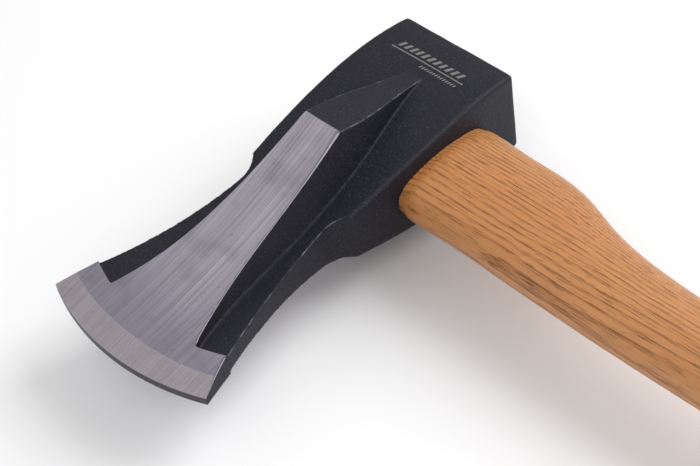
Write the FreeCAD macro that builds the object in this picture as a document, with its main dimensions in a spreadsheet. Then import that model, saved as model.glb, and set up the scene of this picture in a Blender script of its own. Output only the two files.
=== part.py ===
import FreeCAD, Part
import math
import os
import re
import Sketcher
from FreeCAD import Placement, Rotation, Vector

# A splitting maul lying on one cheek. While it is modelled, X runs along the handle from the middle of the
# eye to the butt, Y is 0 on the poll face and negative towards the edge, and Z is 0 in the plane of the edge.

SIZES = [
    # the forging seen from its cheek: depths are measured from the poll face, heights along the eye
    ("head_length", 203.4, "poll face to the foremost point of the edge"),
    ("poll_height", 62.4, "poll face, top to underside"),
    ("block_crown_radius", 640.0, "bow of the block's top and underside"),
    ("lug_depth", 96.5, "depth of the lugs in front of the eye"),
    ("lug_drop", 2.0, "how much lower the block is over its lugs than at the poll"),
    ("lug_step", 1.0, "height of the flat front of each lug"),
    ("throat_depth", 107.5, "depth of the narrowest part of the blade"),
    ("throat_drop", 13.6, "how much lower the blade is there than the poll"),
    ("throat_radius", 17.0, "hollow between a lug and the blade"),
    ("flare_radius", 275.0, "sweep of the blade from throat to corner"),
    ("bit_height", 93.0, "height of the edge, corner to corner"),
    ("bit_bulge", 9.4, "how far the edge bows out beyond its corners"),
    # the cheeks
    ("poll_width", 40.6, "poll face, cheek to cheek"),
    ("cheek_width", 43.4, "block beside the eye"),
    ("cheek_depth", 40.0, "depth of the widest part of the block"),
    ("lug_width", 25.4, "blade between the lugs"),
    ("web_width", 8.2, "blade beside the end of the recess"),
    ("web_height", 80.4, "height of the blade there"),
    ("rim_width", 3.0, "recessed blade, if it ran on to the edge"),
    ("gutter_dip", 1.4, "how much lower the cheek lies beside the ridge than at its border"),
    ("gutter_inset", 4.0, "how far the dip runs on below the ridge before the cheek is level"),
    # the splitting ridges
    ("ridge_width", 70.6, "over both crests"),
    ("crest_depth", 79.8, "depth of the crest"),
    ("ramp_start", 17.0, "depth at which the ramp leaves the cheek"),
    ("ramp_height", 10.6, "height of the ramp where it leaves the cheek"),
    ("ramp_middle", 50.0, "depth of the middle of the ramp"),
    ("ramp_middle_height", 14.4, "height of the ramp at its middle"),
    ("ramp_middle_foot", 20.0, "height of the ridge at the mid-plane, below the ramp's middle"),
    ("crest_height", 20.4, "height of the crest"),
    ("crest_foot", 35.6, "height of the ridge at the mid-plane, below the crest"),
    ("waist_depth", 122.0, "depth of the ridge's waist"),
    ("waist_height", 13.2, "height of the waist at crest level"),
    ("waist_foot", 42.2, "height of the waist at the mid-plane"),
    ("fan_depth", 178.0, "depth at which the recess ends"),
    ("fan_height", 28.6, "height of the ridge there at crest level"),
    ("fan_foot", 53.6, "height of the ridge there at the mid-plane"),
    ("fan_growth", 22.0, "how much higher the ridge would be at the edge"),
    # grinding
    ("grind_radius", 361.0, "hollow of the ground faces along the blade"),
    ("grind_crown_radius", 800.0, "crown of the ground faces across the blade"),
    ("bevel_width", 11.0, "width of the bevel behind the edge"),
    ("bevel_start_width", 8.4, "blade where the bevel starts"),
    ("edge_width", 3.6, "blunt width left at the edge"),
    ("band_width", 19.5, "ground band behind the edge, as far as the recess"),
    ("band_forged_width", 17.0, "blade in that band before it is ground"),
    ("block_round", 2.0, "rounded borders of the block"),
    # eye
    ("eye_depth", 46.3, "depth of the eye's middle"),
    ("eye_length", 52.6, "eye at the underside, poll to edge"),
    ("eye_width", 24.4, "eye at the underside, cheek to cheek"),
    ("eye_end_radius", 9.5, "ends of the oval eye"),
    ("eye_flare", 2.4, "how much longer and wider the eye is at the top"),
    ("eye_fit", 0.05, "gap between the tongue and the eye, all round"),
    # handle
    ("handle_length", 850.0, "top of the tongue to the butt"),
    ("tongue_proud", 3.6, "top of the tongue above the top of the poll"),
    ("shoulder_gap", 1.8, "start of the shoulder below the poll"),
    ("shoulder_rise", 3.2, "length over which the shoulder swells"),
    ("swell_length", 55.3, "handle below the head, poll to edge"),
    ("swell_width", 27.2, "handle below the head, cheek to cheek"),
    ("swell_end_radius", 10.0, "ends of the swell's oval"),
    ("swell_middle_reach", 64.0, "eye's middle to the middle of the swell"),
    ("swell_middle_length", 54.0, "swell, poll to edge, at its middle"),
    ("swell_middle_offset", 0.6, "how far the handle lies forward of the eye there"),
    ("swell_reach", 90.0, "eye's middle to the end of the swell"),
    ("swell_foot_length", 52.7, "swell, poll to edge, at its end"),
    ("swell_foot_offset", 2.2, "how far the handle lies forward of the eye there"),
    ("taper_reach", 110.0, "eye's middle to the middle of the taper"),
    ("taper_length", 46.6, "taper, poll to edge, at its middle"),
    ("taper_offset", 5.9, "how far the handle lies forward of the eye there"),
    ("neck_reach", 142.0, "eye's middle to the end of the taper"),
    ("neck_length", 41.0, "handle, poll to edge, at the end of the taper"),
    ("neck_offset", 9.4, "how far the handle lies forward of the eye there"),
    ("grip_reach", 190.0, "eye's middle to the start of the grip"),
    ("grip_length", 39.2, "grip, poll to edge"),
    ("grip_width", 27.0, "grip, cheek to cheek"),
    ("grip_end_radius", 10.0, "ends of the grip's oval"),
    ("grip_offset", 10.3, "how far the grip lies forward of the eye"),
    ("grip_thinning", 1.6, "how much slimmer the grip is at its middle"),
    ("knob_run", 130.0, "length over which the grip swells into the knob"),
    ("knob_seat", 42.0, "knob's thickest place, from the butt"),
    ("knob_length", 50.0, "knob, poll to edge"),
    ("knob_width", 34.0, "knob, cheek to cheek"),
    ("butt_round", 7.0, "rounding of the butt, along the handle"),
    ("butt_inset", 4.9, "rounding of the butt, in from the knob's sides"),
    # wedges
    ("kerf_length", 46.0, "kerf and wooden wedge, poll to edge"),
    ("kerf_depth", 46.0, "depth of the kerf from the top of the tongue"),
    ("kerf_width", 5.6, "wooden wedge at the top"),
    ("kerf_root", 1.2, "wooden wedge at the bottom"),
    ("wedge_fit", 0.02, "gap around each wedge"),
    ("steel_wedge_length", 21.0, "steel wedge, cheek to cheek"),
    ("steel_wedge_width", 3.8, "steel wedge at its head"),
    ("steel_wedge_tip", 0.8, "steel wedge at its tip"),
    ("steel_wedge_depth", 25.0, "depth of each steel wedge"),
    ("steel_wedge_spacing", 21.0, "between the two steel wedges"),
]

doc = FreeCAD.newDocument("splitting_maul")
sheet = doc.addObject("Spreadsheet::Sheet", "Sizes")
for row, (alias, value, note) in enumerate(SIZES, start=1):
    sheet.set(f"A{row}", note)
    sheet.set(f"B{row}", str(value))
    sheet.setAlias(f"B{row}", alias)
doc.recompute()


def bound(text):
    """An expression on the sheet's cells, from one that names them alone."""
    return re.sub(r"[a-z]\w*", lambda word: "Sizes." + word[0], text)


def worth(text):
    """The value of such an expression."""
    return float(sheet.evalExpression(bound(text)))


# A sketch's plane: its rotation, and the expressions for its place where that isn't the origin.
CHEEK = (Rotation(), {})
PROFILE = (Rotation(Vector(1, 1, 1), 120), {})


def across(place):
    """A plane across the blade, at the given Y."""
    return (Rotation(Vector(1, 0, 0), 90), {"y": place})


def across_handle(place):
    """A plane across the handle, at the given X."""
    return (Rotation(Vector(1, 1, 1), 120), {"x": place})


def new_sketch(name, plane):
    sketch = doc.addObject("Sketcher::SketchObject", name)
    rotation, places = plane
    sketch.Placement = Placement(Vector(0, 0, 0), rotation)
    for coordinate, text in places.items():
        sketch.setExpression("Placement.Base." + coordinate, bound(text))
    return sketch


def drive(sketch, constraint, text):
    """Add a constraint whose value follows an expression."""
    number = sketch.addConstraint(constraint)
    sketch.setExpression(f"Constraints[{number}]", bound(text))


def pin(sketch, geometry, end, along, text):
    """Fix one coordinate of a sketch point to an expression."""
    if text == "0":
        sketch.addConstraint(Sketcher.Constraint("PointOnObject", geometry, end, -2 if along == "X" else -1))
        return
    drive(sketch, Sketcher.Constraint("Distance" + along, -1, 1, geometry, end, worth(text)), text)


def outline(name, plane, corners, arcs=None):
    """A closed sketch. arcs gives the edges, by their first corner, that are arcs: a radius and +1 where the
    arc bows to the left of its edge, -1 where it bows to the right."""
    sketch = new_sketch(name, plane)
    points = [Vector(worth(u), worth(v), 0) for u, v in corners]
    arcs = arcs or {}
    ends = []
    for index, start in enumerate(points):
        finish = points[(index + 1) % len(points)]
        if index not in arcs:
            ends.append((sketch.addGeometry(Part.LineSegment(start, finish)), 1, 2))
            continue
        text, side = arcs[index]
        radius = worth(text)
        chord = finish - start
        rise = radius - math.sqrt(radius ** 2 - (chord.Length / 2) ** 2)
        left = Vector(-chord.y, chord.x, 0).normalize()
        edge = sketch.addGeometry(Part.Arc(start, (start + finish) / 2 + left * rise * side, finish))
        forward = sketch.getPoint(edge, 1).distanceToPoint(start) < 1e-6
        ends.append((edge, 1, 2) if forward else (edge, 2, 1))
        drive(sketch, Sketcher.Constraint("Radius", edge, radius), text)
    for index, (edge, first, last) in enumerate(ends):
        following = ends[(index + 1) % len(ends)]
        sketch.addConstraint(Sketcher.Constraint("Coincident", edge, last, following[0], following[1]))
        pin(sketch, edge, first, "X", corners[index][0])
        pin(sketch, edge, first, "Y", corners[index][1])
    return sketch


def turned_over(corners):
    """Corners of one half, then the same half turned over, so that the outline closes."""
    return corners + [(f"-({u})", v) for u, v in reversed(corners)]


def both_sides(corners):
    """Corners above the mid-plane, then the same corners below it."""
    return corners + [(u, f"-({v})") for u, v in reversed(corners)]


def extrusion(name, sketch, direction, reach):
    """The sketch made solid, half to each side."""
    solid = doc.addObject("Part::Extrusion", name)
    solid.Base = sketch
    solid.DirMode = "Custom"
    solid.Dir = direction
    solid.setExpression("LengthFwd", bound(reach))
    solid.Symmetric = True
    solid.Solid = True
    return solid


def boolean(kind, name, *shapes):
    """Part::Cut of two objects, or Part::MultiCommon or Part::MultiFuse of several."""
    result = doc.addObject("Part::" + kind, name)
    if kind == "Cut":
        result.Base, result.Tool = shapes
    else:
        result.Shapes = list(shapes)
    return result


def loft(name, sections, ruled):
    solid = doc.addObject("Part::Loft", name)
    solid.Sections = sections
    solid.Solid = True
    solid.Ruled = ruled
    return solid


def turned(name, sketch, centre, axis, sweep):
    """The sketch swept half of the angle each way about an axis through centre, given as expressions."""
    solid = doc.addObject("Part::Revolution", name)
    solid.Source = sketch
    solid.Axis = axis
    for coordinate, text in zip("xyz", centre):
        solid.setExpression("Base." + coordinate, bound(text))
    solid.Angle = sweep
    solid.Symmetric = True
    solid.Solid = True
    return solid


def other_side(solid):
    """The same solid below the mid-plane."""
    mirror = doc.addObject("Part::Mirroring", solid.Name + "_below")
    mirror.Source = solid
    mirror.Normal = Vector(0, 0, 1)
    return mirror


# The maul's foremost point along the handle is a corner of the edge, and its last is the butt.
MIDDLE = "(handle_length - poll_height / 2 - tongue_proud - bit_height / 2) / 2"


def in_place(node):
    """Move a finished sub-part so that the maul is centred on the origin, with its lower crest at Z = 0."""
    node.setExpression("Placement.Base.x", bound(f"-({MIDDLE})"))
    node.setExpression("Placement.Base.y", bound("head_length / 2"))
    node.setExpression("Placement.Base.z", bound("ridge_width / 2"))
    node.Label = node.Name
    return node


# ---- head ----

# Blanks that are trimmed to an outline run past it: the small ones by OVERRUN, the tools by CLEAR.
OVERRUN = 5
CLEAR = "ridge_width"
LUG_HEIGHT = "(poll_height - lug_drop)"
THROAT_HEIGHT = "(poll_height - throat_drop)"
EDGE_RADIUS = "((bit_height / 2) ^ 2 + bit_bulge ^ 2) / (2 * bit_bulge)"
EDGE_CENTRE = ("0", f"{EDGE_RADIUS} - head_length", "0")
EYE_TOP = "-(poll_height / 2 + tongue_proud)"
EYE_FOOT = "poll_height / 2 + shoulder_gap"
ALONG_THE_EDGE = 64
ACROSS_THE_BLADE = 8


def head_outline():
    """The forging seen from its cheek."""
    half = [
        ("poll_height / 2", "0"),
        (f"{LUG_HEIGHT} / 2", "-lug_depth"),
        (f"{LUG_HEIGHT} / 2 - lug_step", "-lug_depth - lug_step / 2"),
        (f"{THROAT_HEIGHT} / 2", "-throat_depth"),
        ("bit_height / 2", "bit_bulge - head_length"),
    ]
    arcs = {
        0: ("block_crown_radius", 1),
        2: ("throat_radius", -1),
        3: ("flare_radius", -1),
        4: (EDGE_RADIUS, 1),
        5: ("flare_radius", -1),
        6: ("throat_radius", -1),
        8: ("block_crown_radius", 1),
    }
    sketch = outline("head_outline", CHEEK, turned_over(half), arcs)
    return extrusion("head_silhouette", sketch, Vector(0, 0, 1), "2 * " + CLEAR)


def cheeks():
    """The block and the recessed blade: each cheek dips from its border towards the ridge."""
    stations = [  # depth, height of the ridge's foot, height at the border, width at the border, dip
        ("0", "ramp_height", "poll_height", "poll_width", "0"),
        ("cheek_depth", "ramp_height", "poll_height", "cheek_width", "0"),
        ("lug_depth", "(crest_foot - gutter_inset)", LUG_HEIGHT, "lug_width", "gutter_dip"),
        ("fan_depth", "(fan_foot - gutter_inset)", "web_height", "web_width", "gutter_dip"),
        ("head_length + bit_bulge", "fan_foot", "bit_height", "rim_width", "0"),
    ]
    sections = []
    for number, (depth, foot, border, width, dip) in enumerate(stations):
        floor = f"{width} / 2 - {dip}"
        reach = f"(bit_height / 2 + {OVERRUN})"
        rim = f"{width} / 2 + {dip} * (2 * {reach} - {border}) / ({border} - {foot})"
        top = [(f"-{reach}", rim), (f"-{foot} / 2", floor), (f"{foot} / 2", floor), (reach, rim)]
        sections.append(outline(f"cheek_section_{number}", across(f"-({depth})"), both_sides(top)))
    return loft("cheeks", sections, ruled=False)


def ridges():
    """Both splitting ridges: drafted walls that fan out to the edge, under a ramp and a flat to be ground."""
    stations = [  # depth, height at crest level, height at the mid-plane
        ("ramp_start", "ramp_height", "ramp_height"),
        ("ramp_middle", "ramp_middle_height", "ramp_middle_foot"),
        ("crest_depth", "crest_height", "crest_foot"),
        ("waist_depth", "waist_height", "waist_foot"),
        ("fan_depth", "fan_height", "fan_foot"),
        ("head_length", "fan_height + fan_growth", "fan_foot + fan_growth"),
    ]
    sections = []
    for number, (depth, height, foot) in enumerate(stations):
        half = [
            (f"({height}) / 2", "ridge_width / 2"),
            (f"({foot}) / 2", "0"),
            (f"({height}) / 2", "-ridge_width / 2"),
        ]
        sections.append(outline(f"ridge_section_{number}", across(f"-({depth})"), turned_over(half)))
    walls = loft("ridge_walls", sections, ruled=False)
    half = [
        ("-ramp_start", "poll_width / 2"),
        ("-crest_depth", "ridge_width / 2"),
        ("-throat_depth", "ridge_width / 2"),
        ("-head_length + band_width", "band_forged_width / 2"),
    ]
    flanks = outline("ridge_profile", PROFILE, both_sides(half))
    run = extrusion("ridge_run", flanks, Vector(1, 0, 0), "2 * " + CLEAR)
    return boolean("MultiCommon", "ridges", walls, run)


def edge_band():
    """The thick band behind the edge, which is ground from face to face."""
    corners = [
        ("-head_length + band_width", "band_forged_width / 2"),
        ("-head_length - bit_bulge", "band_forged_width / 2"),
        ("-head_length - bit_bulge", "-band_forged_width / 2"),
        ("-head_length + band_width", "-band_forged_width / 2"),
    ]
    sketch = outline("band_section", PROFILE, corners)
    return turned("edge_band", sketch, EDGE_CENTRE, Vector(0, 0, 1), ALONG_THE_EDGE)


def ground_face():
    """What is left by grinding one side: hollow along the blade, slightly crowned across it."""
    corners = [
        (CLEAR, CLEAR),
        ("-crest_depth", CLEAR),
        ("-crest_depth", "ridge_width / 2"),
        ("-head_length + bevel_width", "bevel_start_width / 2"),
        ("-head_length - " + CLEAR, "bevel_start_width / 2"),
        ("-head_length - " + CLEAR, "-" + CLEAR),
        (CLEAR, "-" + CLEAR),
    ]
    sketch = outline("grind_profile", PROFILE, corners, {2: ("grind_radius", 1)})
    centre = ("0", "0", "bevel_start_width / 2 - grind_crown_radius")
    return turned("ground_face", sketch, centre, Vector(0, 1, 0), ACROSS_THE_BLADE)


def bevel():
    """What is cut away in front of one bevel, all round the edge. Its slope runs on as far again behind
    the bevel."""
    corners = [
        ("-head_length", "edge_width / 2"),
        ("-head_length - bit_bulge", "edge_width / 2"),
        ("-head_length - bit_bulge", CLEAR),
        ("-head_length + 2 * bevel_width", CLEAR),
        ("-head_length + 2 * bevel_width", "bevel_start_width - edge_width / 2"),
    ]
    sketch = outline("bevel_section", PROFILE, corners)
    return turned("bevel", sketch, EDGE_CENTRE, Vector(0, 0, 1), ALONG_THE_EDGE)


def rounded_block(forging):
    """The forging with the borders of its poll face rounded, and the block's long borders running on."""
    doc.recompute()
    radius = worth("block_round")
    hair = 0.01
    borders = []
    for number, edge in enumerate(forging.Shape.Edges, start=1):
        if max(vertex.Point.y for vertex in edge.Vertexes) > -hair:
            borders.append((number, radius, radius))
    rounded = doc.addObject("Part::Fillet", "rounded_block")
    rounded.Base = forging
    rounded.Edges = borders
    return rounded


def build_head():
    silhouette = head_outline()
    blank = boolean("MultiFuse", "blank", cheeks(), ridges(), edge_band())
    forging = rounded_block(boolean("MultiCommon", "forging", blank, silhouette))
    upper_face = ground_face()
    ground = boolean("MultiCommon", "ground", forging, upper_face, other_side(upper_face))
    upper_bevel = bevel()
    bevels = boolean("MultiFuse", "bevels", upper_bevel, other_side(upper_bevel))
    edged = boolean("Cut", "edged", ground, bevels)
    return in_place(boolean("Cut", "head", edged, through_eye("eye", "0")))


# ---- what fills the eye ----

def oval(name, place, middle, length, width, end_radius):
    """A four-arc oval across the handle at X = place, its middle at Y = middle."""
    sketch = new_sketch(name, across_handle(place))
    ends_apart = f"({length}) / 2 - ({end_radius})"
    half_width = f"({width}) / 2"
    squares = f"({ends_apart}) ^ 2 + ({half_width}) ^ 2 - ({end_radius}) ^ 2"
    flank = f"({squares}) / (2 * ({half_width} - ({end_radius})))"
    offset, reach, rise = worth(middle), worth(ends_apart), worth(f"{flank} - {half_width}")
    small, large = worth(end_radius), worth(flank)
    turn = math.atan2(rise, reach)
    rounds = [
        (Vector(offset + reach, 0, 0), small, -turn, turn),
        (Vector(offset, -rise, 0), large, turn, math.pi - turn),
        (Vector(offset - reach, 0, 0), small, math.pi - turn, math.pi + turn),
        (Vector(offset, rise, 0), large, math.pi + turn, 2 * math.pi - turn),
    ]
    for centre, radius, first, last in rounds:
        sketch.addGeometry(Part.ArcOfCircle(Part.Circle(centre, Vector(0, 0, 1), radius), first, last))
    for edge in range(4):
        sketch.addConstraint(Sketcher.Constraint("Tangent", edge, 2, (edge + 1) % 4, 1))
    sketch.addConstraint(Sketcher.Constraint("Equal", 0, 2))
    drive(sketch, Sketcher.Constraint("Radius", 0, small), end_radius)
    for edge, way in ((0, "+"), (2, "-")):
        pin(sketch, edge, 3, "X", f"({middle}) {way} ({ends_apart})")
        pin(sketch, edge, 3, "Y", "0")
    pin(sketch, 1, 3, "Y", f"{half_width} - {flank}")
    pin(sketch, 3, 3, "Y", f"{flank} - {half_width}")
    return sketch


def through_eye(name, gap):
    """The eye's tapered oval, or what fills it with a gap all round."""
    ends = [("foot", EYE_FOOT, "0"), ("top", EYE_TOP, "eye_flare")]
    sections = []
    for end, place, flare in ends:
        length = f"eye_length + {flare} - 2 * {gap}"
        width = f"eye_width + {flare} - 2 * {gap}"
        radius = f"eye_end_radius + {flare} / 2 - {gap}"
        sections.append(oval(f"{name}_{end}", place, "-eye_depth", length, width, radius))
    return loft(name, sections, ruled=True)


BUTT = f"handle_length + {EYE_TOP}"
KNOB_END_RADIUS = "grip_end_radius + (knob_width - grip_width) / 2"


def shaft():
    """Ovals from the swell to the knob: X, then forward offset, length, width and end radius. One between the
    first and the swell's middle keeps the loft from wavering there."""
    swell = ("0", "swell_length", "swell_width", "swell_end_radius")
    mean = "(swell_length + swell_middle_length) / 2"
    upper = ("swell_middle_offset / 2", mean, "swell_width", "swell_end_radius")
    middle = ("swell_middle_offset", "swell_middle_length", "swell_width", "swell_end_radius")
    foot = ("swell_foot_offset", "swell_foot_length", "swell_width", "swell_end_radius")
    taper = ("taper_offset", "taper_length", "swell_width", "swell_end_radius")
    neck = ("neck_offset", "neck_length", "grip_width", "grip_end_radius")
    grip = ("grip_offset", "grip_length", "grip_width", "grip_end_radius")
    slim = ("grip_offset", "grip_length - grip_thinning", "grip_width - grip_thinning", "grip_end_radius")
    knob = ("grip_offset", "knob_length", "knob_width", KNOB_END_RADIUS)
    stations = [
        (f"{EYE_FOOT} + shoulder_rise", swell),
        (f"({EYE_FOOT} + shoulder_rise + swell_middle_reach) / 2", upper),
        ("swell_middle_reach", middle),
        ("swell_reach", foot),
        ("taper_reach", taper),
        ("neck_reach", neck),
        ("grip_reach", grip),
        ("(grip_reach + handle_length - knob_run) / 2", slim),
        (f"{BUTT} - knob_run", slim),
        (f"{BUTT} - knob_seat", knob),
        (f"{BUTT} - butt_round", knob),
    ]
    sections = []
    for number, (place, (forward, length, width, radius)) in enumerate(stations):
        centre = f"-eye_depth - {forward}"
        sections.append(oval(f"shaft_{number}", place, centre, length, width, radius))
    return sections


def build_handle():
    """Tongue, shoulder, shaft and rounded butt in one piece of wood, sawn and split for the wedges."""
    tongue = through_eye("tongue", "eye_fit")
    sections = shaft()
    shoulder = loft("shoulder", [tongue.Sections[0], sections[0]], ruled=True)
    body = loft("shaft", sections, ruled=False)
    radius = f"{KNOB_END_RADIUS} - butt_inset"
    length, width = "knob_length - 2 * butt_inset", "knob_width - 2 * butt_inset"
    end = oval("butt_end", BUTT, "-eye_depth - grip_offset", length, width, radius)
    cap = loft("butt_cap", [sections[-1], end], ruled=True)
    haft = boolean("MultiFuse", "haft", tongue, shoulder, body, cap)
    cuts = [wooden_wedge("kerf", "wedge_fit")]
    cuts += [steel_wedge("slot" + side, way, "wedge_fit") for side, way in SIDES.items()]
    return in_place(boolean("Cut", "handle", haft, boolean("MultiFuse", "kerf_and_slots", *cuts)))


# ---- wedges ----

SIDES = {"_front": "-", "_rear": "+"}


def wooden_wedge(name, gap):
    """The wooden wedge, or the kerf that it spreads."""
    half = [
        (EYE_TOP, f"kerf_width / 2 + {gap}"),
        (f"{EYE_TOP} + kerf_depth + {gap}", f"kerf_root / 2 + {gap}"),
    ]
    sketch = outline(name + "_section", across("-eye_depth"), both_sides(half))
    return extrusion(name, sketch, Vector(0, 1, 0), f"kerf_length + 2 * {gap}")


def steel_wedge(name, way, gap):
    """A steel wedge, or the slot that it cuts: in front of the eye's middle, or behind it."""
    middle = f"-eye_depth {way} steel_wedge_spacing / 2"
    head = f"steel_wedge_width / 2 + {gap}"
    tip = f"steel_wedge_tip / 2 + {gap}"
    foot = f"{EYE_TOP} + steel_wedge_depth + {gap}"
    corners = [
        (EYE_TOP, f"{middle} + {head}"),
        (EYE_TOP, f"{middle} - ({head})"),
        (foot, f"{middle} - ({tip})"),
        (foot, f"{middle} + {tip}"),
    ]
    sketch = outline(name + "_section", CHEEK, corners)
    return extrusion(name, sketch, Vector(0, 0, 1), f"steel_wedge_length + 2 * {gap}")


def build_wedges():
    """The wooden wedge with the steel ones let into it."""
    slots = [steel_wedge("wedge_slot" + side, way, "wedge_fit") for side, way in SIDES.items()]
    blank = wooden_wedge("eye_wedge_blank", "0")
    wood = boolean("Cut", "eye_wedge", blank, boolean("MultiFuse", "wedge_slots", *slots))
    steel = [in_place(steel_wedge("steel_wedge" + side, way, "0")) for side, way in SIDES.items()]
    return [in_place(wood)] + steel


nodes = [build_head(), build_handle()] + build_wedges()
doc.recompute()

for thing in doc.Objects:
    if "Invalid" in thing.State or "Error" in thing.State:
        raise RuntimeError(f"{thing.Name} failed: {thing.State}")
for node in nodes:
    if node.Shape.isNull() or not node.Shape.isValid():
        raise RuntimeError(f"{node.Label} has no valid shape")
    if len(node.Shape.Solids) != 1:
        raise RuntimeError(f"{node.Label} is {len(node.Shape.Solids)} solids")

os.makedirs("parts", exist_ok=True)
for node in nodes:
    node.Shape.exportStep(f"parts/{node.Label}.step")
    print(node.Label, round(node.Shape.Volume / 1000, 1), "cm3", node.Shape.BoundBox)
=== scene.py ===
import math

import bmesh
import bpy
import numpy as np
from mathutils import Matrix, Vector, noise
from mathutils.kdtree import KDTree


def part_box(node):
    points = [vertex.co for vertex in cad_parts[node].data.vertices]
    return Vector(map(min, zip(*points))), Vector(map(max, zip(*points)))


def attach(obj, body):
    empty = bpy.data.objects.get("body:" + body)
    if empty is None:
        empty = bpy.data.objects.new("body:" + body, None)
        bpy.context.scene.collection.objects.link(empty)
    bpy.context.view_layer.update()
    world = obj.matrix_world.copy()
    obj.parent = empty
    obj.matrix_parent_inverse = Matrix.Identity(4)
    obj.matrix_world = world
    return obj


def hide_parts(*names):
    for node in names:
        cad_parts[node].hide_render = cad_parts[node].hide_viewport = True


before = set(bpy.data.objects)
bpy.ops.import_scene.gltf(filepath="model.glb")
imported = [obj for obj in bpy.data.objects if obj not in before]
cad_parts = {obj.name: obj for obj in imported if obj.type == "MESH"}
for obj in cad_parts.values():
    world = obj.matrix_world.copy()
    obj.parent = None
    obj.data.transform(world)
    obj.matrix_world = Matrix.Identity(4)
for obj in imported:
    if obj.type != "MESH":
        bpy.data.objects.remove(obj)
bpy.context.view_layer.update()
headLow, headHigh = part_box("head")
headMiddle = (headLow + headHigh) / 2
print("frame loaded")


# ---- tools shared by every piece ----

def linearColour(hexCode):
    channels = [int(hexCode[i:i + 2], 16) / 255 for i in (1, 3, 5)]
    return [c / 12.92 if c <= 0.04045 else ((c + 0.055) / 1.055) ** 2.4 for c in channels] + [1.0]


# adds one node; an input is a socket to link or a value to set
def addNode(tree, kind, inputs=None, **settings):
    node = tree.nodes.new("ShaderNode" + kind)
    for name, value in settings.items():
        setattr(node, name, value)
    for name, value in (inputs or {}).items():
        if isinstance(value, bpy.types.NodeSocket):
            tree.links.new(value, node.inputs[name])
        else:
            node.inputs[name].default_value = value
    return node


def newMaterial(name):
    material = bpy.data.materials.new(name)
    material.use_nodes = True
    tree = material.node_tree
    return material, tree, tree.nodes["Principled BSDF"]


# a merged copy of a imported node, as a bmesh
def copyOfNode(node):
    bm = bmesh.new()
    bm.from_mesh(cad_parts[node].data)
    bmesh.ops.remove_doubles(bm, verts=bm.verts, dist=0.000002)
    for face in bm.faces:
        face.smooth = True
    return bm


def newPiece(name, bm, materials):
    mesh = bpy.data.meshes.new(name)
    bm.to_mesh(mesh)
    bm.free()
    piece = bpy.data.objects.new(name, mesh)
    bpy.context.scene.collection.objects.link(piece)
    for material in materials:
        mesh.materials.append(material)
    return piece


# adds a modifier and applies it at once
def applyModifier(piece, kind, **settings):
    modifier = piece.modifiers.new(kind.lower(), kind)
    for name, value in settings.items():
        setattr(modifier, name, value)
    made = bpy.data.meshes.new_from_object(piece.evaluated_get(bpy.context.evaluated_depsgraph_get()))
    piece.modifiers.clear()
    piece.data = made
    return piece


def vertexPlaces(mesh):
    places = np.empty(len(mesh.vertices) * 3)
    mesh.vertices.foreach_get("co", places)
    return places.reshape(-1, 3)


def vertexNormals(mesh):
    normals = np.empty(len(mesh.vertices) * 3)
    mesh.vertex_normals.foreach_get("vector", normals)
    return normals.reshape(-1, 3)


def giveAttribute(mesh, name, values):
    layer = mesh.attributes.get(name) or mesh.attributes.new(name, "FLOAT", "POINT")
    layer.data.foreach_set("value", np.asarray(values, np.float32))


# ---- materials ----

paint = {
    "body": "#0f0f1b",
    "speck": "#454557",
    "bare": "#6c6c78",
    # hollow: painted shade, the colour the paint's creases are darkened towards
    "hollow": "#08080d",     # in the creases
    "grain": 0.0007,         # powder grains, a little coarser than real so that they show
    "orangePeel": 0.005,
    "patch": 0.022,          # patches with more specks or fewer
    "grainDepth": 0.00025,
    "peelDepth": 0.0003,
    "roughness": 0.56,
}

# a plain etched ornament near the poll: a row of slanted dashes over a long rule, and a short row under it
etching = {
    "rule": ((-0.0215, 0.0200), (0.0190, 0.0196)),       # along the eye, then depth from the poll
    "dashes": ((-0.0118, 0.0239), (0.0142, 0.0176)),
    "fineDashes": ((0.0079, 0.0281), (0.0214, 0.0228)),
    "pitch": 0.0034,
    "finePitch": 0.0015,
    "solid": 0.5,            # share of the pitch that is etched
    "slant": 0.45,
    "above": 0.01,           # height over the mid-plane, so that the lower cheek stays plain
    "colour": "#73706e",
}


# 1 inside the etched dashes and the rule, on the upper cheek only
def etchedOrnament(tree, place):
    fromPoll = addNode(tree, "Mapping", {
        "Vector": place, "Location": (-headMiddle.x, -headHigh.y, -headMiddle.z)})
    axes = addNode(tree, "SeparateXYZ", {0: fromPoll.outputs[0]}).outputs
    depth = addNode(tree, "Math", {0: axes[1], 1: -1.0}, operation="MULTIPLY").outputs[0]
    slanted = addNode(tree, "Math", {
        0: depth, 1: etching["slant"], 2: axes[0]}, operation="MULTIPLY_ADD").outputs[0]
    total = None
    for name, pitch in (("rule", None), ("dashes", etching["pitch"]), ("fineDashes", etching["finePitch"])):
        spans = etching[name]
        inside = addNode(tree, "Math", {
            0: axes[2], 1: etching["above"]}, operation="GREATER_THAN").outputs[0]
        for axis, (low, high) in zip((slanted if pitch else axes[0], depth), spans):
            near = addNode(tree, "Math", {
                0: axis, 1: (low + high) / 2, 2: (high - low) / 2}, operation="COMPARE")
            inside = addNode(tree, "Math", {
                0: inside, 1: near.outputs[0]}, operation="MULTIPLY").outputs[0]
        if pitch:
            count = addNode(tree, "Math", {
                0: slanted, 1: 1 / pitch, 2: -spans[0][0] / pitch}, operation="MULTIPLY_ADD")
            part = addNode(tree, "Math", {0: count.outputs[0]}, operation="FRACT")
            solid = addNode(tree, "Math", {
                0: part.outputs[0], 1: etching["solid"]}, operation="LESS_THAN")
            inside = addNode(tree, "Math", {
                0: inside, 1: solid.outputs[0]}, operation="MULTIPLY").outputs[0]
        total = inside if total is None else addNode(
            tree, "Math", {0: total, 1: inside}, operation="MAXIMUM").outputs[0]
    return total
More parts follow.
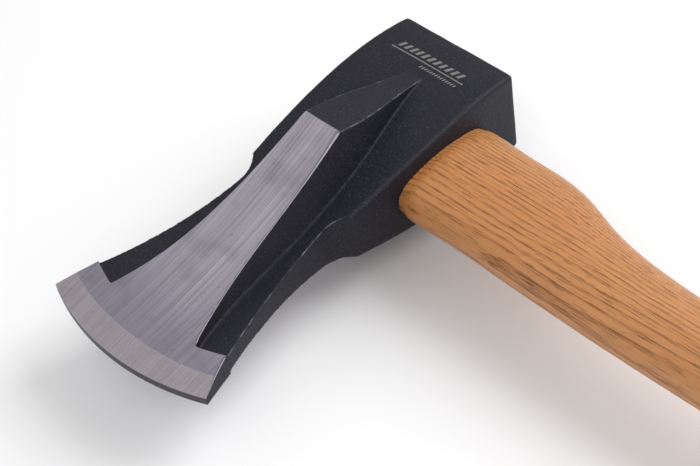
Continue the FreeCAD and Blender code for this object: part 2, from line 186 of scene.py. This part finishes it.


# Black powder coat over a shot-blasted forging: matt and finely grained, specked, thin on the corners, with
# painted shade darkening its creases.
def blackPowderCoat():
    material, tree, shader = newMaterial("black powder coat")
    place = addNode(tree, "TexCoord").outputs["Object"]
    grain = addNode(tree, "TexNoise", {
        "Vector": place, "Scale": 1 / paint["grain"], "Detail": 2, "Roughness": 0.6})
    peel = addNode(tree, "TexNoise", {"Vector": place, "Scale": 1 / paint["orangePeel"], "Detail": 4})
    patches = addNode(tree, "TexNoise", {"Vector": place, "Scale": 1 / paint["patch"], "Detail": 3})
    specks = addNode(tree, "MapRange", {
        "Value": grain.outputs["Fac"], "From Min": 0.52, "From Max": 0.76}, interpolation_type="SMOOTHSTEP")
    amount = addNode(tree, "MapRange", {
        "Value": patches.outputs["Fac"], "From Min": 0.3, "From Max": 0.7, "To Min": 0.25, "To Max": 0.75})
    speckled = addNode(tree, "Math", {0: specks.outputs[0], 1: amount.outputs[0]}, operation="MULTIPLY")
    colour = addNode(tree, "Mix", {
        0: speckled.outputs[0], 6: linearColour(paint["body"]), 7: linearColour(paint["speck"])},
        data_type="RGBA")
    worn = addNode(tree, "Attribute", attribute_name="worn").outputs["Fac"]
    ragged = addNode(tree, "Math", {0: worn, 1: peel.outputs["Fac"]}, operation="MULTIPLY")
    rubbed = addNode(tree, "MapRange", {
        "Value": ragged.outputs[0], "From Min": 0.3, "From Max": 0.72}, interpolation_type="SMOOTHSTEP")
    # painted shade: the creases are darkened towards the hollow colour
    crease = addNode(tree, "Attribute", attribute_name="crease").outputs["Fac"]
    shade = addNode(tree, "Math", {0: crease, 1: 0.8}, operation="MULTIPLY")
    creaseShaded = addNode(tree, "Mix", {
        0: shade.outputs[0], 6: colour.outputs[2], 7: linearColour(paint["hollow"])}, data_type="RGBA")
    thin = addNode(tree, "Mix", {
        0: rubbed.outputs[0], 6: creaseShaded.outputs[2], 7: linearColour(paint["bare"])}, data_type="RGBA")
    etched = addNode(tree, "Mix", {
        0: etchedOrnament(tree, place), 6: thin.outputs[2], 7: linearColour(etching["colour"])},
        data_type="RGBA")
    gloss = addNode(tree, "MapRange", {
        "Value": patches.outputs["Fac"],
        "To Min": paint["roughness"] - 0.08, "To Max": paint["roughness"] + 0.1})
    coarse = addNode(tree, "Bump", {
        "Height": peel.outputs["Fac"], "Strength": 0.5, "Distance": paint["peelDepth"]})
    fine = addNode(tree, "Bump", {
        "Height": grain.outputs["Fac"], "Strength": 0.6, "Distance": paint["grainDepth"],
        "Normal": coarse.outputs[0]})
    tree.links.new(etched.outputs[2], shader.inputs["Base Color"])
    tree.links.new(gloss.outputs[0], shader.inputs["Roughness"])
    tree.links.new(fine.outputs[0], shader.inputs["Normal"])
    shader.inputs["IOR"].default_value = 1.5
    shader.inputs["Specular IOR Level"].default_value = 0.32
    return material


steel = {
    "faces": ("#9a95a2", "#cbc4cf", "#7c798b"),      # dark and light strokes, and the tint just behind the bevels
    "bevels": ("#9d959c", "#cfc6cc", "#ada5ac"),
    # the blunt flat: dark steel tints, painted shade
    "blunt": ("#3e3b40", "#625e64", "#4a474c"),
    "bevelTintReach": 0.026,      # how far the tint reaches behind the bevels
    # painted highlight along the border with the paint
    "lipHighlight": "#d2ced9",
    # colour of grey smudges and pits, also used for the painted shade line along the paint border
    "smudgeAndShade": "#6b6670",
    "smudgeSize": 0.018,
    "pitSpacing": 0.004,
    "honedTurn": 1.1,        # the bevels' strokes are turned by this, in radians
    "stroke": 0.090,         # length of a grinding mark
    "gritLine": 0.0005,      # between marks, drawn coarser than the belt's real grit
    "markDepth": 0.0001,
    "roughness": 0.42,
}


# Forged steel ground on a coarse belt: long fine strokes along the blade, grey smudges and a few pits, and a
# painted shade line and a painted highlight along the border with the paint.
def groundSteel(name, turn, tints):
    dark, light, bevelTintColour = [linearColour(tint) for tint in tints]
    material, tree, shader = newMaterial(name)
    place = addNode(tree, "TexCoord").outputs["Object"]
    across, along = 1 / steel["gritLine"], 1 / steel["stroke"]
    strokes = addNode(tree, "Mapping", {
        "Vector": place, "Rotation": (0, 0, turn), "Scale": (across, along, along)})
    lines = addNode(tree, "TexNoise", {
        "Vector": strokes.outputs[0], "Scale": 1, "Detail": 2, "Roughness": 0.7})
    clouds = addNode(tree, "TexNoise", {"Vector": place, "Scale": 1 / steel["smudgeSize"], "Detail": 4})
    grey = addNode(tree, "MapRange", {"Value": lines.outputs["Fac"], "From Min": 0.3, "From Max": 0.7})
    colour = addNode(tree, "Mix", {
        0: grey.outputs[0], 6: dark, 7: light}, data_type="RGBA")
    stained = addNode(tree, "MapRange", {
        "Value": clouds.outputs["Fac"], "From Min": 0.52, "From Max": 0.78, "To Max": 0.4})
    dirty = addNode(tree, "Mix", {
        0: stained.outputs[0], 6: colour.outputs[2], 7: linearColour(steel["smudgeAndShade"])}, data_type="RGBA")
    bevelTint = addNode(tree, "Attribute", attribute_name="bevelTint").outputs["Fac"]
    bevelTinted = addNode(tree, "Mix", {
        0: bevelTint, 6: dirty.outputs[2], 7: bevelTintColour}, data_type="RGBA")
    pits = addNode(tree, "TexVoronoi", {
        "Vector": place, "Scale": 1 / steel["pitSpacing"], "Randomness": 1.0})
    pitted = addNode(tree, "MapRange", {
        "Value": pits.outputs["Distance"], "From Min": 0.05, "From Max": 0.09, "To Min": 0.6, "To Max": 0.0})
    speckled = addNode(tree, "Mix", {
        0: pitted.outputs[0], 6: bevelTinted.outputs[2], 7: linearColour(steel["smudgeAndShade"])}, data_type="RGBA")
    # painted shade line, then a painted highlight, along the border with the paint
    border = addNode(tree, "Attribute", attribute_name="lipLightAndShade").outputs["Fac"]
    shadowed = addNode(tree, "MapRange", {
        "Value": border, "From Min": 0.25, "From Max": 0.5, "To Max": 0.55}, interpolation_type="SMOOTHSTEP")
    shadeLined = addNode(tree, "Mix", {
        0: shadowed.outputs[0], 6: speckled.outputs[2], 7: linearColour(steel["smudgeAndShade"])}, data_type="RGBA")
    highlighted = addNode(tree, "MapRange", {
        "Value": border, "From Min": 0.62, "From Max": 0.85}, interpolation_type="SMOOTHSTEP")
    bright = addNode(tree, "Mix", {
        0: highlighted.outputs[0], 6: shadeLined.outputs[2], 7: linearColour(steel["lipHighlight"])}, data_type="RGBA")
    gloss = addNode(tree, "MapRange", {
        "Value": lines.outputs["Fac"],
        "To Min": steel["roughness"] - 0.1, "To Max": steel["roughness"] + 0.14})
    marks = addNode(tree, "Bump", {
        "Height": lines.outputs["Fac"], "Strength": 0.7, "Distance": steel["markDepth"]})
    tree.links.new(bright.outputs[2], shader.inputs["Base Color"])
    tree.links.new(gloss.outputs[0], shader.inputs["Roughness"])
    tree.links.new(marks.outputs[0], shader.inputs["Normal"])
    shader.inputs["Metallic"].default_value = 1.0
    return material


ash = {
    "late": "#c48852",       # dense summer wood under an amber lacquer
    "early": "#a56836",      # porous spring wood
    "pore": "#583316",
    "flush": "#b87236",      # warmer patches where the lacquer soaked in
    "ring": 0.0019,          # one year's growth
    "pith": Vector((0, 0.070, -0.034)),   # heart of the tree, from the handle's middle
    "sway": 0.006,           # slow wander of the rings along the handle
    "swayLength": 0.16,
    "swayWidth": 0.03,
    "swayPick": 3.0,         # which stretch of the wander the handle has
    "waver": 0.0012,         # their quick unevenness
    "waverLength": 0.05,
    "waverWidth": 0.004,
    "fibreLength": 0.045,
    "fibreWidth": 0.0008,
    "poreLength": 0.011,
    "poreWidth": 0.00032,
    "poreDepth": 0.00012,
    "roughness": 0.36,
}


# Ring-porous ash under amber lacquer: dark lines of open pores along the grain, pale summer wood between.
def lacqueredAsh(middle):
    material, tree, shader = newMaterial("lacquered ash")
    place = addNode(tree, "TexCoord").outputs["Object"]
    drift = addNode(tree, "Mapping", {
        "Vector": place, "Location": (0, 0, ash["swayPick"]),
        "Scale": (1 / ash["swayLength"], 1 / ash["swayWidth"], 1 / ash["swayWidth"])})
    sway = addNode(tree, "TexNoise", {"Vector": drift.outputs[0], "Scale": 1, "Detail": 2})
    ripple = addNode(tree, "Mapping", {
        "Vector": place, "Scale": (1 / ash["waverLength"], 1 / ash["waverWidth"], 1 / ash["waverWidth"])})
    waver = addNode(tree, "TexNoise", {"Vector": ripple.outputs[0], "Scale": 1, "Detail": 4})
    heart = middle + ash["pith"]
    fromHeart = addNode(tree, "Mapping", {
        "Vector": place, "Location": (0, -heart.y, -heart.z), "Scale": (0, 1, 1)})
    radius = addNode(tree, "VectorMath", {0: fromHeart.outputs[0]}, operation="LENGTH")
    swayed = addNode(tree, "Math", {
        0: sway.outputs["Fac"], 1: ash["sway"], 2: radius.outputs["Value"]}, operation="MULTIPLY_ADD")
    wavered = addNode(tree, "Math", {
        0: waver.outputs["Fac"], 1: ash["waver"], 2: swayed.outputs[0]}, operation="MULTIPLY_ADD")
    years = addNode(tree, "Math", {0: wavered.outputs[0], 1: ash["ring"]}, operation="DIVIDE")
    season = addNode(tree, "Math", {0: years.outputs[0]}, operation="FRACT")
    spring = addNode(tree, "MapRange", {
        "Value": season.outputs[0], "From Min": 0.12, "From Max": 0.55, "To Min": 1, "To Max": 0},
        interpolation_type="SMOOTHSTEP")
    winter = addNode(tree, "MapRange", {
        "Value": season.outputs[0], "From Min": 0.0, "From Max": 0.08}, interpolation_type="SMOOTHSTEP")
    porous = addNode(tree, "Math", {0: spring.outputs[0], 1: winter.outputs[0]}, operation="MULTIPLY")
    fibres = addNode(tree, "Mapping", {
        "Vector": place, "Scale": (1 / ash["fibreLength"], 1 / ash["fibreWidth"], 1 / ash["fibreWidth"])})
    fibre = addNode(tree, "TexNoise", {
        "Vector": fibres.outputs[0], "Scale": 1, "Detail": 4, "Roughness": 0.6})
    vessels = addNode(tree, "Mapping", {
        "Vector": place, "Scale": (1 / ash["poreLength"], 1 / ash["poreWidth"], 1 / ash["poreWidth"])})
    vessel = addNode(tree, "TexNoise", {"Vector": vessels.outputs[0], "Scale": 1, "Detail": 1})
    likely = addNode(tree, "Math", {
        0: porous.outputs[0], 1: 0.13, 2: vessel.outputs["Fac"]}, operation="MULTIPLY_ADD")
    pore = addNode(tree, "MapRange", {
        "Value": likely.outputs[0], "From Min": 0.62, "From Max": 0.68}, interpolation_type="SMOOTHSTEP")
    soft = addNode(tree, "Math", {
        0: porous.outputs[0], 1: 0.45, 2: fibre.outputs["Fac"]}, operation="MULTIPLY_ADD")
    shade = addNode(tree, "MapRange", {"Value": soft.outputs[0], "From Min": 0.3, "From Max": 1.15})
    wood = addNode(tree, "Mix", {
        0: shade.outputs[0], 6: linearColour(ash["late"]), 7: linearColour(ash["early"])}, data_type="RGBA")
    soaked = addNode(tree, "MapRange", {
        "Value": sway.outputs["Fac"], "From Min": 0.45, "From Max": 0.7, "To Max": 0.45})
    flushed = addNode(tree, "Mix", {
        0: soaked.outputs[0], 6: wood.outputs[2], 7: linearColour(ash["flush"])}, data_type="RGBA")
    dark = addNode(tree, "Math", {0: pore.outputs[0], 1: 0.7}, operation="MULTIPLY")
    colour = addNode(tree, "Mix", {
        0: dark.outputs[0], 6: flushed.outputs[2], 7: linearColour(ash["pore"])}, data_type="RGBA")
    height = addNode(tree, "Math", {
        0: pore.outputs[0], 1: -1.0, 2: shade.outputs[0]}, operation="MULTIPLY_ADD")
    grain = addNode(tree, "Bump", {
        "Height": height.outputs[0], "Strength": 0.5, "Distance": ash["poreDepth"]})
    gloss = addNode(tree, "MapRange", {
        "Value": soft.outputs[0], "To Min": ash["roughness"], "To Max": ash["roughness"] + 0.14})
    tree.links.new(colour.outputs[2], shader.inputs["Base Color"])
    tree.links.new(gloss.outputs[0], shader.inputs["Roughness"])
    tree.links.new(grain.outputs[0], shader.inputs["Normal"])
    shader.inputs["IOR"].default_value = 1.5
    shader.inputs["Coat Weight"].default_value = 0.18
    shader.inputs["Coat Roughness"].default_value = 0.28
    return material


beech = {
    "buff": "#c79a70",
    "fleck": "#8a5c3a",
    "fleckSize": (0.004, 0.0018, 0.0005),
    "depth": 0.0001,
    "roughness": 0.7,
}


# Beech, sawn and driven dry: pinkish buff with short brown flecks.
def beechWood():
    material, tree, shader = newMaterial("sawn beech")
    place = addNode(tree, "TexCoord").outputs["Object"]
    flecks = addNode(tree, "Mapping", {"Vector": place, "Scale": [1 / size for size in beech["fleckSize"]]})
    fleck = addNode(tree, "TexNoise", {"Vector": flecks.outputs[0], "Scale": 1, "Detail": 3})
    mark = addNode(tree, "MapRange", {"Value": fleck.outputs["Fac"], "From Min": 0.42, "From Max": 0.68})
    colour = addNode(tree, "Mix", {
        0: mark.outputs[0], 6: linearColour(beech["buff"]), 7: linearColour(beech["fleck"])},
        data_type="RGBA")
    rough = addNode(tree, "Bump", {
        "Height": fleck.outputs["Fac"], "Strength": 0.5, "Distance": beech["depth"]})
    tree.links.new(colour.outputs[2], shader.inputs["Base Color"])
    tree.links.new(rough.outputs[0], shader.inputs["Normal"])
    shader.inputs["Roughness"].default_value = beech["roughness"]
    return material


iron = {
    "grey": "#8f8d8c",
    "rust": "#5b4d44",
    "dent": 0.003,
    "dentDepth": 0.0003,
}


# Mild steel wedge, as cut and hammered in: dull grey, dented and slightly brown.
def wedgeSteel():
    material, tree, shader = newMaterial("mild steel, hammered")
    place = addNode(tree, "TexCoord").outputs["Object"]
    dents = addNode(tree, "TexNoise", {"Vector": place, "Scale": 1 / iron["dent"], "Detail": 4})
    rust = addNode(tree, "MapRange", {"Value": dents.outputs["Fac"], "From Min": 0.5, "From Max": 0.75})
    colour = addNode(tree, "Mix", {
        0: rust.outputs[0], 6: linearColour(iron["grey"]), 7: linearColour(iron["rust"])}, data_type="RGBA")
    hammered = addNode(tree, "Bump", {
        "Height": dents.outputs["Fac"], "Strength": 0.5, "Distance": iron["dentDepth"]})
    gloss = addNode(tree, "MapRange", {"Value": dents.outputs["Fac"], "To Min": 0.35, "To Max": 0.7})
    tree.links.new(colour.outputs[2], shader.inputs["Base Color"])
    tree.links.new(gloss.outputs[0], shader.inputs["Roughness"])
    tree.links.new(hammered.outputs[0], shader.inputs["Normal"])
    shader.inputs["Metallic"].default_value = 1.0
    return material


# ---- head ----

head = {
    "crestDepth": 0.0798,    # poll face to the crest of each ridge
    "hollow": 0.361,         # radius of the ground faces along the blade
    "crown": 0.8,            # and across it
    "bulge": 0.0094,         # bow of the edge
    "bevelWidth": 0.011,
    "bevelStart": 0.0084,    # blade's thickness where the bevel starts
    "edgeFlat": 0.0036,
    "bandWidth": 0.0195,
    "spare": 0.0015,         # metal left on for the grinding to take off
    "draft": 0.3,            # lean of the ridge's walls
    "rounding": 3,           # passes of smoothing that round the forging's corners
    "fillet": 4,             # passes that find its creases and corners
    "fill": 0.3,             # how much of a crease is filled
    "hammering": 0.0002,
    "dent": 0.011,           # size of the skin's dents
    "lipLightAndShade": 0.0011,          # width of the band of painted highlight and painted shade along the ground faces' border with the paint
    "lipBandSwell": 2.0,        # how much wider that band is at the crest
    "lipBandFade": 0.012,
    "wearDepth": 0.00013,    # a corner this far proud of its surroundings is worn bare, and a crease this deep gets the full painted shade
    "stoneReach": 0.056,     # half the width of each grinding stone
    "stoneBack": 0.004,      # how far the stones run on past the crest
    "stoneFront": 0.006,     # and past the edge
    "ringOverrun": 0.02,
    "ringHeight": 0.03,
}

halfEdge = (headHigh.x - headLow.x) / 2
edgeRadius = (halfEdge ** 2 + head["bulge"] ** 2) / (2 * head["bulge"])
edgeCentre = Vector((headMiddle.x, headLow.y + edgeRadius, headMiddle.z))
crest = Vector((headHigh.y - head["crestDepth"], (headHigh.z - headLow.z) / 2))
bevelTop = Vector((headLow.y + head["bevelWidth"], head["bevelStart"] / 2))
chord = bevelTop - crest
sagitta = math.sqrt(head["hollow"] ** 2 - (chord.length / 2) ** 2)
stone = (crest + bevelTop) / 2 - Vector((-chord.y, chord.x)).normalized() * sagitta
crownMiddle = head["bevelStart"] / 2 - head["crown"]


# height of a ground face above the mid-plane
def groundHeight(x, y):
    along = stone.y - math.sqrt(head["hollow"] ** 2 - (y - stone.x) ** 2)
    return crownMiddle + math.sqrt((along - crownMiddle) ** 2 - (x - headMiddle.x) ** 2)


def fromEdgeCentre(place):
    return math.hypot(place.x - edgeCentre.x, place.y - edgeCentre.y)


def bevelHeight(radius):
    slope = (head["bevelStart"] - head["edgeFlat"]) / 2 / head["bevelWidth"]
    return head["edgeFlat"] / 2 + (edgeRadius - radius) * slope


# the forging before it is ground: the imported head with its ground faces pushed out
def addSpareMetal(bm):
    near = 0.00008
    for vert in bm.verts:
        x, y, height = vert.co.x, vert.co.y, abs(vert.co.z - headMiddle.z)
        side = 1 if vert.co.z > headMiddle.z else -1
        radius = fromEdgeCentre(vert.co)
        if abs(y - crest.x) < 0.0003 and height > crest.y - 0.0004:
            vert.co += Vector((0, -0.003, side * 0.0007))
            continue
        if y > crest.x:
            continue
        ground = abs(height - groundHeight(x, y)) < near
        bevelled = abs(height - bevelHeight(radius)) < near
        if ground or bevelled:
            vert.co.z += side * head["spare"]
        if ground and radius < edgeRadius - head["bandWidth"] - 0.0005:
            vert.co.x -= math.copysign(head["draft"] * head["spare"], x - headMiddle.x)
        if radius > edgeRadius - near:
            vert.co += Vector((x - edgeCentre.x, y - edgeCentre.y, 0)).normalized() * 0.0025


# rounds outer corners a little and inner ones more, dents the skin, and notes where it would wear and which
# creases get painted shade
def forgeSkin(piece):
    applyModifier(piece, "REMESH", mode="SHARP", octree_depth=8, scale=0.99, use_smooth_shade=True)
    applyModifier(piece, "SMOOTH", factor=0.5, iterations=head["rounding"])
    crisp = vertexPlaces(piece.data)
    normals = vertexNormals(piece.data)
    crispMesh = piece.data
    applyModifier(piece, "SMOOTH", factor=0.5, iterations=head["fillet"])
    outward = ((vertexPlaces(piece.data) - crisp) * normals).sum(1)
    dents = [noise.fractal(Vector(place) / head["dent"], 0.9, 2.0, 3) for place in crisp]
    inward = -head["hammering"] * np.clip(0.5 + 0.5 * np.array(dents), 0, 1)
    lift = head["fill"] * np.maximum(outward, 0) + inward
    piece.data = crispMesh
    piece.data.vertices.foreach_set("co", (crisp + normals * lift[:, None]).ravel())
    giveAttribute(piece.data, "worn", np.clip(-outward / head["wearDepth"], 0, 1))
    # crease: where the paint gets painted shade
    giveAttribute(piece.data, "crease", np.clip(outward / head["wearDepth"], 0, 1))


# both grinding stones: a gridded surface under each block
def grindingStones():
    bm = bmesh.new()
    for side in (1, -1):
        back = crest.x + head["stoneBack"]
        reach = Vector((head["stoneReach"], (back - headLow.y + head["stoneFront"]) / 2))
        centre = Vector((headMiddle.x, back - reach.y, 0))
        grid = bmesh.ops.create_grid(bm, x_segments=88, y_segments=104, size=1, matrix=(
            Matrix.Translation(centre) @ Matrix.Diagonal((reach.x, reach.y, 1, 1))))["verts"]
        for vert in grid:
            vert.co.z = headMiddle.z + side * groundHeight(vert.co.x, vert.co.y)
        rim = [e for e in bm.edges if e.is_boundary and e.verts[0] in set(grid)]
        walls = bmesh.ops.extrude_edge_only(bm, edges=rim)["geom"]
        for vert in (v for v in walls if isinstance(v, bmesh.types.BMVert)):
            vert.co.z = headMiddle.z + side * 0.07
        top = [e for e in walls if isinstance(e, bmesh.types.BMEdge) and e.is_boundary]
        bmesh.ops.contextual_create(bm, geom=top)
    bmesh.ops.recalc_face_normals(bm, faces=bm.faces)
    return bm


# a ring that wraps the edge: both bevels and the blunt flat between them
def bevelRing():
    bm = bmesh.new()
    inner, outer = edgeRadius - 2 * head["bevelWidth"], edgeRadius + head["ringOverrun"]
    top = head["ringHeight"]
    section = [(edgeRadius, head["edgeFlat"] / 2), (inner, bevelHeight(inner)), (inner, top), (outer, top)]
    section += [(radius, -height) for radius, height in reversed(section)]
    sweep = math.radians(64)
    corners = [bm.verts.new(edgeCentre + Vector((0, -radius, height))) for radius, height in section]
    face = bm.faces.new(corners)
    bmesh.ops.rotate(bm, verts=corners, cent=edgeCentre, matrix=Matrix.Rotation(-sweep / 2, 3, "Z"))
    bmesh.ops.spin(bm, geom=[face] + list(face.edges) + corners, cent=edgeCentre, axis=(0, 0, 1),
                   angle=sweep, steps=96, use_duplicate=False)
    bmesh.ops.recalc_face_normals(bm, faces=bm.faces)
    return bm


def buildHead():
    bare = groundSteel("ground steel", 0.0, steel["faces"])
    honed = groundSteel("ground steel, honed bevel", steel["honedTurn"], steel["bevels"])
    bm = copyOfNode("head")
    addSpareMetal(bm)
    piece = newPiece("maul_head", bm, [blackPowderCoat()])
    forgeSkin(piece)
    for name, tool, finish in (("stones", grindingStones(), bare), ("ring", bevelRing(), honed)):
        cutter = newPiece(name, tool, [finish])
        applyModifier(piece, "BOOLEAN", operation="DIFFERENCE", object=cutter, solver="EXACT",
                      material_mode="TRANSFER")
        bpy.data.objects.remove(cutter)
    blunt = groundSteel("ground steel, blunted", 0.0, steel["blunt"])
    piece.data.materials.append(blunt)
    honedSlot, bluntSlot = [piece.data.materials.find(finish.name) for finish in (honed, blunt)]
    for polygon in piece.data.polygons:    # the ring cuts the blunt face too, which stands upright; it gets the darker steel, painted shade
        if polygon.material_index == honedSlot and abs(polygon.normal.z) < 0.2:
            polygon.material_index = bluntSlot
    markLipShadeAndTint(piece.data)
    print("head:", len(piece.data.polygons), "faces,", [m.name for m in piece.data.materials])
    return piece


# lipLightAndShade: mask for a painted highlight and a painted shade line, 1 where bare steel meets paint on
# the side towards the handle, 0 from a few millimetres inside it
# bevelTint: how much the steel takes its third tint, most just behind the bevels
def markLipShadeAndTint(mesh):
    painted, bare = set(), set()
    for polygon in mesh.polygons:
        (painted if polygon.material_index == 0 else bare).update(polygon.vertices)
    border = []
    for i in painted & bare:
        place = mesh.vertices[i].co
        onRecessEnd = abs(fromEdgeCentre(place) - edgeRadius + head["bandWidth"]) < 0.001
        onCrest = place.y > crest.x - 0.0012
        if place.x > headMiddle.x and not onRecessEnd and not onCrest:
            border.append(i)
    tree = KDTree(len(border))
    for i in border:
        tree.insert(mesh.vertices[i].co, i)
    tree.balance()
    values = np.zeros(len(mesh.vertices))
    bevelTint = np.zeros(len(mesh.vertices))
    for i in bare:
        place = mesh.vertices[i].co
        wide = head["lipLightAndShade"] * (1.0 + 0.7 * noise.noise(place / 0.025))
        wide *= 1 + head["lipBandSwell"] * math.exp((place.y - crest.x) / head["lipBandFade"])
        behind = edgeRadius - head["bevelWidth"] - fromEdgeCentre(place)
        bevelTint[i] = 0.5 * math.exp(-(max(0.0, behind) / steel["bevelTintReach"]) ** 2)
        if behind > -0.9 * head["bevelWidth"]:
            values[i] = max(0.0, 1 - tree.find(place)[2] / wide)
    giveAttribute(mesh, "lipLightAndShade", values)
    giveAttribute(mesh, "bevelTint", bevelTint)


# ---- handle and wedges ----

handle = {"cell": 0.0013, "rounding": 8}


def buildHandle():
    piece = newPiece("maul_handle", copyOfNode("handle"), [])
    applyModifier(piece, "REMESH", mode="VOXEL", voxel_size=handle["cell"], use_smooth_shade=True)
    applyModifier(piece, "SMOOTH", factor=0.5, iterations=handle["rounding"])
    piece.data.materials.clear()
    piece.data.materials.append(lacqueredAsh(Vector((0, headMiddle.y + 0.05, headMiddle.z))))
    print("handle:", len(piece.data.polygons), "faces")
    return piece


wedges = {"cornerRound": 0.0003}


def buildWedge(node, name, material):
    bm = copyOfNode(node)
    corners = [e for e in bm.edges if e.calc_face_angle(0) > 0.6]
    bmesh.ops.bevel(bm, geom=corners, offset=wedges["cornerRound"], offset_type="OFFSET", segments=2,
                    profile=0.5, affect="EDGES", material=-1)
    return newPiece(name, bm, [material])


# ---- the maul ----

def putTogether():
    pieces = {
        "head": (buildHead(), "painted_steel"),
        "handle": (buildHandle(), "ash"),
        "eye_wedge": (buildWedge("eye_wedge", "wooden_wedge", beechWood()), "beech"),
    }
    hammered = wedgeSteel()
    for node in ("steel_wedge_front", "steel_wedge_rear"):
        name = node.replace("steel_wedge", "iron_wedge")
        pieces[node] = (buildWedge(node, name, hammered), "wedge_steel")
    for node, (piece, slot) in pieces.items():
        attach(piece, "root")
        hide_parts(node)


putTogether()
print("pieces are in place")


# ---- floor, light and camera ----

studio = {
    "floor": "#f3f3f4",
    "air": 0.64,
    "floorReach": 6,
    "floorGap": 0.0002,
    "keySize": 0.9,
    "keyPower": 11.0,
    "keyPlace": Vector((0.4, 0.8, 0.9)),
    "fillSize": 0.8,
    "fillPower": 3.5,
    "fillPlace": Vector((0.5, -0.7, 1.0)),
    "cameraFromPoll": Vector((0.473, -0.444, 0.591)),
    "right": Vector((0.7005, 0.7043, -0.1150)),
    "up": Vector((-0.4598, 0.5688, 0.6820)),
    "lens": 102.86,
}


def layFloor():
    bm = bmesh.new()
    bmesh.ops.create_grid(bm, x_segments=1, y_segments=1, size=studio["floorReach"])
    bmesh.ops.translate(bm, verts=bm.verts, vec=(0, 0, headLow.z - studio["floorGap"]))
    material, tree, shader = newMaterial("matt white paper")
    shader.inputs["Base Color"].default_value = linearColour(studio["floor"])
    shader.inputs["Roughness"].default_value = 0.9
    shader.inputs["Specular IOR Level"].default_value = 0.1
    newPiece("floor", bm, [material])


def hangLight(name, place, aim, power, size):
    lamp = bpy.data.lights.new(name, "AREA")
    lamp.shape = "SQUARE"
    lamp.size = size
    lamp.energy = power
    softbox = bpy.data.objects.new(name, lamp)
    softbox.location = aim + place
    softbox.rotation_euler = (-place).to_track_quat("-Z", "Y").to_euler()
    bpy.context.scene.collection.objects.link(softbox)


def setCamera():
    lens = bpy.data.cameras.new("camera")
    lens.lens = studio["lens"]
    lens.sensor_width = 36
    lens.clip_start = 0.01
    camera = bpy.data.objects.new("camera", lens)
    right, up = studio["right"].normalized(), studio["up"].normalized()
    turn = Matrix((right, up, right.cross(up))).transposed().to_4x4()
    poll = Vector((headMiddle.x, headHigh.y, headMiddle.z))
    camera.matrix_world = Matrix.Translation(poll + studio["cameraFromPoll"]) @ turn
    bpy.context.scene.collection.objects.link(camera)
    bpy.context.scene.camera = camera


def lightTheRoom():
    world = bpy.data.worlds.new("soft white room")
    world.use_nodes = True
    world.node_tree.nodes["Background"].inputs["Color"].default_value = (1, 1, 1, 1)
    world.node_tree.nodes["Background"].inputs["Strength"].default_value = studio["air"]
    bpy.context.scene.world = world
    hangLight("key softbox", studio["keyPlace"], headMiddle, studio["keyPower"], studio["keySize"])
    hangLight("fill softbox", studio["fillPlace"], headMiddle, studio["fillPower"], studio["fillSize"])
    bpy.context.scene.view_settings.view_transform = "Standard"


layFloor()
lightTheRoom()
setCamera()
print("studio is set")
